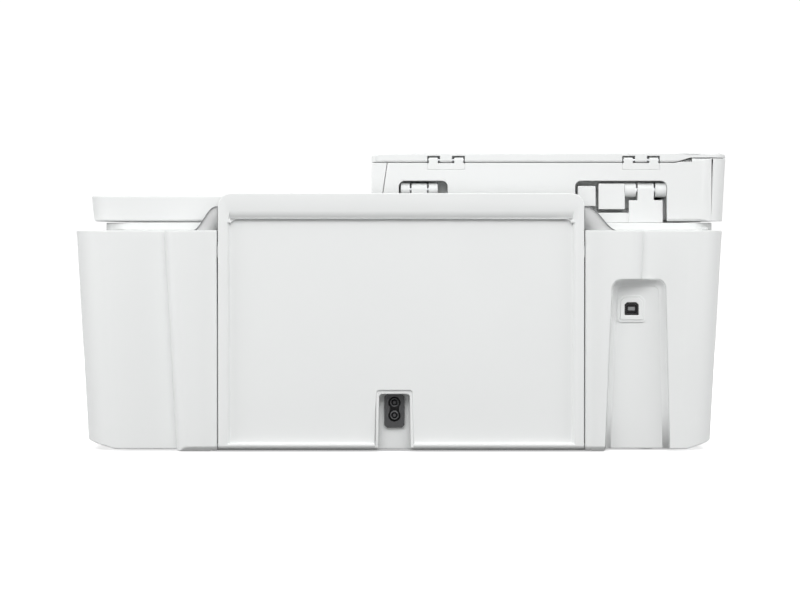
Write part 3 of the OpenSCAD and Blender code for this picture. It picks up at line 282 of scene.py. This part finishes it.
def ring_loops(outer, inner, y_back, y_front):
    """Loops that go round the section of a flat ring, for a closed loft."""
    def at(points, y):
        return [(x, y, z) for x, z in points]
    return [at(outer, y_back), at(outer, y_front), at(inner, y_front), at(inner, y_back), at(outer, y_back)]


def chamfered(cx, cz, half_w, half_h, top, low):
    """Eight-cornered outline with its upper corners cut by top and its lower ones by low."""
    return [
        (cx - half_w + low, cz - half_h), (cx + half_w - low, cz - half_h),
        (cx + half_w, cz - half_h + low), (cx + half_w, cz + half_h - top),
        (cx + half_w - top, cz + half_h), (cx - half_w + top, cz + half_h),
        (cx - half_w, cz + half_h - top), (cx - half_w, cz - half_h + low),
    ]


def ring_piece(name, outer, inner, y_back, y_front, slot_name, body, edge):
    """A flat ring in X and Z, thick along Y, with rounded edges."""
    loops = ring_loops(outer, inner, y_back, y_front)
    verts, faces = loft(loops, caps=False)
    obj = piece(name, verts, faces, slot_name, body)
    round_edges(obj, edge)
    return obj


def in_mm(node):
    """Lower and upper corner of a CAD node's box."""
    low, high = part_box(node)
    return low / MM, high / MM


POD_HIGH = in_mm("rear_pods")[1]
TRAY_HIGH = in_mm("input_tray")[1]
LID_LOW, LID_HIGH = in_mm("lid_housing")
POD_X = TRAY_HIGH.x + 0.7
POD_ROUND = 9.0
POD_FOOT_X, POD_LEAN, POD_FOOT_Z, POD_RISE = -155, 6, 0.6, 146.4
WALL_Y = 151.0
COVER_LIP = LID_HIGH.z + 1.2
COVER_SEAM = LID_HIGH.z - 3.1
COVER_AXIS_Y, COVER_AXIS_Z, COVER_PIN_RADIUS = 140.4, 193.9, 0.9

RECESS_DEPTH = 4
RECESS_FLOOR_Z, RECESS_SPRING_Z, RECESS_TOP_Z, RECESS_RISE = 1.6, 108.3, 114.3, 110.3
RECESS_LEFT_X, RECESS_RIGHT_X = -175.8, -139.5
RECESS_LEFT_LEAN, RECESS_RIGHT_LEAN = 2.9 / RECESS_RISE, 4.5 / RECESS_RISE
SOCKET_X, SOCKET_Z = -153.4, 94.8
INLET_X, INLET_BACK_Y, INLET_FRONT_Y = 4.4, 143.2, 149.6
INLET_PIN_Z = {"upper": 32.5, "lower": 23.9}


def pod_face(x, z):
    """Depth of the rear surface beside the data socket, from the pod down to the housing."""
    outer = POD_FOOT_X - POD_LEAN * (z - POD_FOOT_Z) / POD_RISE
    turn = outer + POD_ROUND
    if x >= turn:
        return POD_HIGH.y
    if x > outer:
        return POD_HIGH.y - POD_ROUND + math.sqrt(max(0, POD_ROUND ** 2 - (turn - x) ** 2))
    return WALL_Y


def recess_outline(inset, steps=10):
    """Arch of the data lead's recess from its lower left to its lower right, in X and Z."""
    radius = max(6 - inset * 0.4, 3)
    heights = (RECESS_FLOOR_Z, 30, 60, 90)
    left = [(RECESS_LEFT_X - RECESS_LEFT_LEAN * (RECESS_SPRING_Z - z) + inset, z) for z in heights]
    right = [(RECESS_RIGHT_X + RECESS_RIGHT_LEAN * (RECESS_SPRING_Z - z) - inset, z)
             for z in heights[::-1]]
    center_z = RECESS_TOP_Z - inset - radius
    arch = []
    for center_x, start in ((RECESS_LEFT_X + inset + radius, math.pi),
                            (RECESS_RIGHT_X - inset - radius, math.pi / 2)):
        for k in range(steps + 1):
            a = start - k * math.pi / 2 / steps
            arch.append((center_x + radius * math.cos(a), center_z + radius * math.sin(a)))
    return left + arch + right


def recess_liner():
    """Swept fillet round the arch-topped recess, from the outer surface down to its floor."""
    floor_y = WALL_Y - RECESS_DEPTH + 0.05
    rows = 8
    loops = []
    for k in range(rows + 1):
        t = k / rows
        loop = []
        for (xo, zo), (xi, zi) in zip(recess_outline(0.05), recess_outline(4.4)):
            lip = pod_face(xo, zo) - 0.25
            drop = 1 - (1 - t) ** 2.2
            loop.append((xo + (xi - xo) * t, lip + (floor_y - lip) * drop, zo + (zi - zo) * t))
        loops.append(loop)
    verts, faces = loft(loops, closed=False)
    obj = piece("data_recess_liner", verts, faces, "shell_white", "chassis")
    thick = obj.modifiers.new("thick", "SOLIDIFY")
    thick.thickness = 0.2 * MM
    return obj


def data_socket():
    """Framed square data socket: two stepped frames, a dark shell and its tongue."""
    cx, cz = SOCKET_X, SOCKET_Z
    back = WALL_Y - RECESS_DEPTH
    outer = chamfered(cx, cz, 9.0, 9.0, 3.2, 1.2)
    step = chamfered(cx, cz, 7.4, 7.4, 2.6, 0.8)
    mouth = chamfered(cx, cz, 4.7, 4.3, 1.6, 0.3)
    ring_piece("data_socket_frame", outer, step, back + 0.02, back + 0.9, "shell_white", "chassis", 0.3)
    ring_piece("data_socket_step", step, mouth, back - 2.5, back + 1.5, "shell_white", "chassis", 0.35)
    shell_in = chamfered(cx, cz, 3.5, 3.2, 1.1, 0.2)
    shell = ring_piece("data_socket_shell", mouth, shell_in, back - 5, back + 0.5,
                       "black_plastic", "chassis", 0.15)
    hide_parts("usb_socket")
    verts, faces = loft([[(x, y, z) for x, z in mouth] for y in (back - 5.6, back - 4.4)])
    piece("data_socket_back", verts, faces, "black_plastic", "chassis", smooth=False)
    tongue = chamfered(cx, cz, 2.3, 1.2, 0.2, 0.2)
    verts, faces = loft([[(x, y, z) for x, z in tongue] for y in (back - 5, back - 0.3)])
    obj = piece("data_socket_tongue", verts, faces, "mid_plastic", "chassis")
    round_edges(obj, 0.15, 2)


def round_loop(cx, cz, radius, y, steps=32):
    """A circle in X and Z at one depth."""
    turn = 2 * math.pi / steps
    return [(cx + radius * math.cos(k * turn), y, cz + radius * math.sin(k * turn)) for k in range(steps)]


def inlet_rings():
    """Collar round each pin at the bottom of the mains inlet."""
    outer, lip, inner = 2.9, 2.5, 2.2
    section = ((outer, INLET_BACK_Y), (outer, INLET_FRONT_Y), (lip, INLET_FRONT_Y + 0.4),
               (inner, INLET_FRONT_Y), (inner, INLET_BACK_Y), (outer, INLET_BACK_Y))
    for label, cz in INLET_PIN_Z.items():
        verts, faces = loft([round_loop(INLET_X, cz, radius, y) for radius, y in section], caps=False)
        piece(f"inlet_collar_{label}", verts, faces, "mid_plastic", "chassis")


def extrude_piece(name, outline, y0, y1, slot_name, body, edge=0.3):
    """A flat outline in X and Z, thick along Y, with rounded edges."""
    verts, faces = loft([[(x, y, z) for x, z in outline] for y in (y0, y1)])
    obj = piece(name, verts, faces, slot_name, body)
    if edge:
        round_edges(obj, edge, 2)
    return obj


def cheeks():
    """Grey cheeks beside the rear tray, each with a flowing upper edge and a dark rim."""
    low, high = in_mm("slot_cheeks")
    steps = 20
    made = []
    for label, x0, x1 in (("left", POD_X, high.x), ("right", -POD_X, low.x)):
        curve = []
        for k in range(steps + 1):
            u = k / steps
            fall = 0.5 + 0.5 * math.cos(math.pi * u ** 1.15)
            curve.append((x0 + (x1 - x0) * u, low.z + (high.z - low.z) * fall))
        base = [(x1, low.z), (x0, low.z)]
        made.append(extrude_piece(f"cheek_{label}", curve[:-1] + base, low.y, high.y - 0.4,
                                  "trim_grey", "chassis", 0))
        rim = curve[:-1] + [(x, z - 0.7) for x, z in reversed(curve[:-1])]
        extrude_piece(f"cheek_rim_{label}", rim, high.y - 0.5, high.y - 0.05, "mid_plastic", "chassis", 0)
    for obj in made:
        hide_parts("slot_cheeks")


def cover_hinge_sills():
    """Fills the lid's rear wall below each feeder cover hinge, and backs the ramp of its edge."""
    half, top, bottom = 12.45, COVER_SEAM - 0.1, COVER_SEAM - 4.45
    for label, x in (("outer", -160), ("inner", -30)):
        outline = [(x - half, bottom), (x + half, bottom), (x + half, top), (x - half, top)]
        extrude_piece(f"cover_sill_{label}", outline, LID_HIGH.y - 4, LID_HIGH.y - 0.05,
                      "shell_white", "lid", 0.2)
    x = LID_LOW.x
    outline = [(x + 22, COVER_SEAM - 6), (x + 37, COVER_SEAM - 6), (x + 37, top), (x + 35.4, top),
               (x + 25, COVER_SEAM + 3), (x + 22, COVER_SEAM + 3)]
    extrude_piece("ramp_backing", outline, LID_HIGH.y - 5.2, LID_HIGH.y - 3.6, "shell_white", "lid", 0)


def paint_brackets():
    """The hinge brackets of the feeder cover are moulded with the lid, so they are white."""
    node = frame["nodes"]["hinge_pins"]
    node.data.materials.append(LOOKS["shell_white"])
    lowest = 0.185
    for face in node.data.polygons:
        if face.center.z > lowest:
            away = math.hypot(face.center.y - COVER_AXIS_Y * MM, face.center.z - COVER_AXIS_Z * MM)
            if away > COVER_PIN_RADIUS * MM or abs(face.normal.x) > 0.9:
                face.material_index = 1


def feeder_cover():
    """The feeder cover, with a crown that rolls off towards both of its ends."""
    source = frame["nodes"]["adf_cover"].data
    low, high = in_mm("adf_cover")
    build = bmesh.new()
    build.from_mesh(source)
    bmesh.ops.remove_doubles(build, verts=build.verts, dist=0.01 * MM)
    reach = 22.0
    far_reach = reach * 1.3
    cuts = 8
    for k in range(1, cuts + 1):
        share = (k / cuts) ** 1.4
        for x in (low.x + far_reach * share, high.x - reach * share):
            geometry = build.verts[:] + build.edges[:] + build.faces[:]
            bmesh.ops.bisect_plane(build, geom=geometry, plane_co=(x * MM, 0, 0), plane_no=(1, 0, 0))
    ends = ((low.x, far_reach, 3.4), (high.x, reach, 3.8))
    for vert in build.verts:
        x, z = vert.co.x / MM, vert.co.z / MM
        for edge_x, span, drop in ends:
            u = 1 - abs(x - edge_x) / span
            if u > 0 and z > COVER_LIP:
                fall = drop * (1 - math.sqrt(1 - u * u))
                vert.co.z -= fall * (z - COVER_LIP) / (high.z - COVER_LIP) * MM
    bmesh.ops.dissolve_limit(build, angle_limit=math.radians(0.2), verts=build.verts, edges=build.edges)
    mesh = bpy.data.meshes.new("feeder_cover_shell")
    build.to_mesh(mesh)
    build.free()
    obj = bpy.data.objects.new("feeder_cover_shell", mesh)
    bpy.context.collection.objects.link(obj)
    mesh.materials.clear()
    mesh.materials.append(LOOKS["shell_white"])
    for face in mesh.polygons:
        face.use_smooth = True
    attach(obj, "feeder_cover")
    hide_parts("adf_cover")
    bevel_and_blend(obj, 0.35, 3, 38)


def display_window():
    """Display window of the control panel, between the power key and the row of keys."""
    low, high = in_mm("control_panel")
    x0 = in_mm("power_button")[1].x + 7.5
    x1 = in_mm("wireless_button")[0].x - 6
    y0, y1 = low.y + 9, high.y - 9
    corners = ((x0, y0), (x1, y0), (x1, y1), (x0, y1))
    top = high.z + 0.02
    verts, faces = loft([[(x, y, z) for x, y in corners] for z in (top - 0.2, top)])
    window = piece("display_window", verts, faces, "black_plastic", "chassis")
    round_edges(window, 0.08, 2)


# Strokes of each key's mark, in mm from the key's centre: a line through given points, or an arc
# with its centre, its radius, and its first and last angle.
KEY_MARKS = {
    "power": [("arc", 0, 0, 2.1, -60, 240), ("line", 0, 0.8, 0, 2.8)],
    "wireless": [("arc", 0, -1.6, radius, 45, 135) for radius in (1.2, 2.4, 3.6)],
    "cancel": [("line", -1.7, -1.7, 1.7, 1.7), ("line", -1.7, 1.7, 1.7, -1.7)],
    "copy": [("line", -2, -2.2, -2, 1, 0.8, 1, 0.8, -2.2, -2, -2.2),
             ("line", -0.8, 1.2, -0.8, 2.2, 2, 2.2, 2, -1, 1, -1)],
    "scan": [("line", -2.2, -1.6, 2.2, -1.6), ("line", -2.2, -0.4, 1.6, 1.8)],
}


def key_marks():
    """A plain raised mark on each key."""
    for key, strokes in KEY_MARKS.items():
        low, high = in_mm(f"{key}_button")
        cx, cy = (low.x + high.x) / 2, (low.y + high.y) / 2
        for number, (mode, *numbers) in enumerate(strokes):
            path = [(cx + x, cy + y) for x, y in mark_path(mode, *numbers)]
            mark_strip(f"{key}_mark_{number}", path, high.z, "key_" + key)


def mark_path(mode, *numbers):
    """The points of one stroke."""
    if mode == "line":
        return list(zip(numbers[::2], numbers[1::2]))
    cx, cy, radius, start, end = numbers
    steps = 16
    turn = [math.radians(start + (end - start) * k / steps) for k in range(steps + 1)]
    return [(cx + radius * math.cos(a), cy + radius * math.sin(a)) for a in turn]


def mark_strip(name, path, top, body, width=0.5, lift=0.04):
    """A thin flat stroke lying on a key."""
    left, right = [], []
    count = len(path)
    for i, (x, y) in enumerate(path):
        ax, ay = path[max(i - 1, 0)]
        bx, by = path[min(i + 1, count - 1)]
        size = math.hypot(bx - ax, by - ay) or 1
        nx, ny = -(by - ay) / size * width / 2, (bx - ax) / size * width / 2
        left.append((x + nx, y + ny))
        right.append((x - nx, y - ny))
    outline = left + right[::-1]
    n = len(outline)
    verts = [(x, y, z) for z in (top - 0.05, top + lift) for x, y in outline]
    faces = []
    for i in range(count - 1):
        a, b, c, d = i, i + 1, n - 2 - i, n - 1 - i
        faces.append((n + a, n + b, n + c, n + d))
        faces.append((d, c, b, a))
    for i in range(n):
        j = (i + 1) % n
        faces.append((i, j, n + j, n + i))
    piece(name, verts, faces, "dark_plastic", body, smooth=False)


def paint_gap_shadows():
    """Dark strips painted in as shadow in the gaps where the pods face the rear tray."""
    for side, label in ((1, "left"), (-1, "right")):
        x0 = side * (TRAY_HIGH.x + 0.35)
        x1 = side * (TRAY_HIGH.x + 0.68)
        for part, z0, z1 in (("low", 6, 126), ("high", 139.5, 146.5)):
            verts = [(x, y, z) for x in (x0, x1) for y in (153.4, 161.2) for z in (z0, z1)]
            faces = [(0, 1, 3, 2), (4, 6, 7, 5), (0, 4, 5, 1), (2, 3, 7, 6), (0, 2, 6, 4), (1, 5, 7, 3)]
            # Painted shadow: thin dark blocks stand in for the shade inside the gap beside the tray.
            piece(f"gap_shadow_strip_{label}_{part}", verts, faces, "rubber", "chassis", smooth=False)


recess_liner()
data_socket()
inlet_rings()
paint_gap_shadows()
cheeks()
cover_hinge_sills()
paint_brackets()
feeder_cover()
display_window()
key_marks()


# ---- stage, light and camera ----

def stage_floor():
    """Pale floor that glows a little, so that it stays white to the camera."""
    mesh = bpy.data.meshes.new("floor")
    reach = 60.0
    mesh.from_pydata([(-reach, -reach, 0), (reach, -reach, 0), (reach, reach, 0), (-reach, reach, 0)],
                     [], [(0, 1, 2, 3)])
    floor = bpy.data.objects.new("floor", mesh)
    bpy.context.collection.objects.link(floor)
    n = Nodes("floor_look")
    n.shader.inputs["Base Color"].default_value = (0.9, 0.9, 0.9, 1)
    n.shader.inputs["Roughness"].default_value = 0.95
    n.shader.inputs["Specular IOR Level"].default_value = 0.0
    n.shader.inputs["Emission Color"].default_value = (1, 1, 1, 1)
    n.shader.inputs["Emission Strength"].default_value = 0.62
    mesh.materials.append(n.material)
    floor.visible_diffuse = False


def studio_world():
    """White to the camera; light that falls off from the ceiling to the ground."""
    world = bpy.data.worlds.new("studio")
    bpy.context.scene.world = world
    world.use_nodes = True
    tree = world.node_tree
    place = tree.nodes.new("ShaderNodeTexCoord")
    split = tree.nodes.new("ShaderNodeSeparateXYZ")
    ramp = tree.nodes.new("ShaderNodeMapRange")
    ramp.inputs["From Min"].default_value = -0.5
    ramp.inputs["From Max"].default_value = 0.6
    ramp.inputs["To Min"].default_value = 0.22
    ramp.inputs["To Max"].default_value = 0.62
    path = tree.nodes.new("ShaderNodeLightPath")
    seen = tree.nodes.new("ShaderNodeMix")
    seen.data_type = "FLOAT"
    seen.inputs[3].default_value = 1.05
    tree.links.new(place.outputs["Generated"], split.inputs[0])
    tree.links.new(split.outputs["Z"], ramp.inputs["Value"])
    tree.links.new(ramp.outputs["Result"], seen.inputs[2])
    tree.links.new(path.outputs["Is Camera Ray"], seen.inputs[0])
    tree.links.new(seen.outputs[0], tree.nodes["Background"].inputs["Strength"])
    tree.nodes["Background"].inputs["Color"].default_value = (1, 1, 1, 1)


def area(name, size, power, place, aim):
    """A rectangular lamp aimed at a point."""
    lamp = bpy.data.lights.new(name, "AREA")
    lamp.shape = "RECTANGLE"
    lamp.size, lamp.size_y = size
    lamp.energy = power
    holder = bpy.data.objects.new(name, lamp)
    bpy.context.collection.objects.link(holder)
    holder.location = place
    holder.rotation_euler = (Vector(aim) - Vector(place)).to_track_quat("-Z", "Y").to_euler()


def photo_camera():
    """Camera straight behind the machine, two metres from the rear tray, rim high."""
    data = bpy.data.cameras.new("camera")
    data.lens = 136.5
    camera = bpy.data.objects.new("camera", data)
    bpy.context.collection.objects.link(camera)
    camera.location = (0.0, 2.166, 0.147)
    aim = Vector((0.0007, 0.166, 0.101))
    camera.rotation_euler = (aim - camera.location).to_track_quat("-Z", "Y").to_euler()
    bpy.context.scene.camera = camera


stage_floor()
studio_world()
area("rear_box", (1.6, 0.8), 13.0, (0.0, 1.25, 0.95), (0, 0.16, 0.12))
area("left_strip", (0.35, 1.0), 3.4, (1.0, 0.45, 0.45), (0.1, 0.1, 0.1))
area("right_strip", (0.35, 1.0), 2.8, (-1.0, 0.45, 0.45), (-0.1, 0.1, 0.1))
area("front_box", (1.6, 0.9), 11.0, (0.0, -1.4, 0.7), (0, -0.16, 0.1))
photo_camera()
bpy.context.scene.view_settings.view_transform = "Standard"
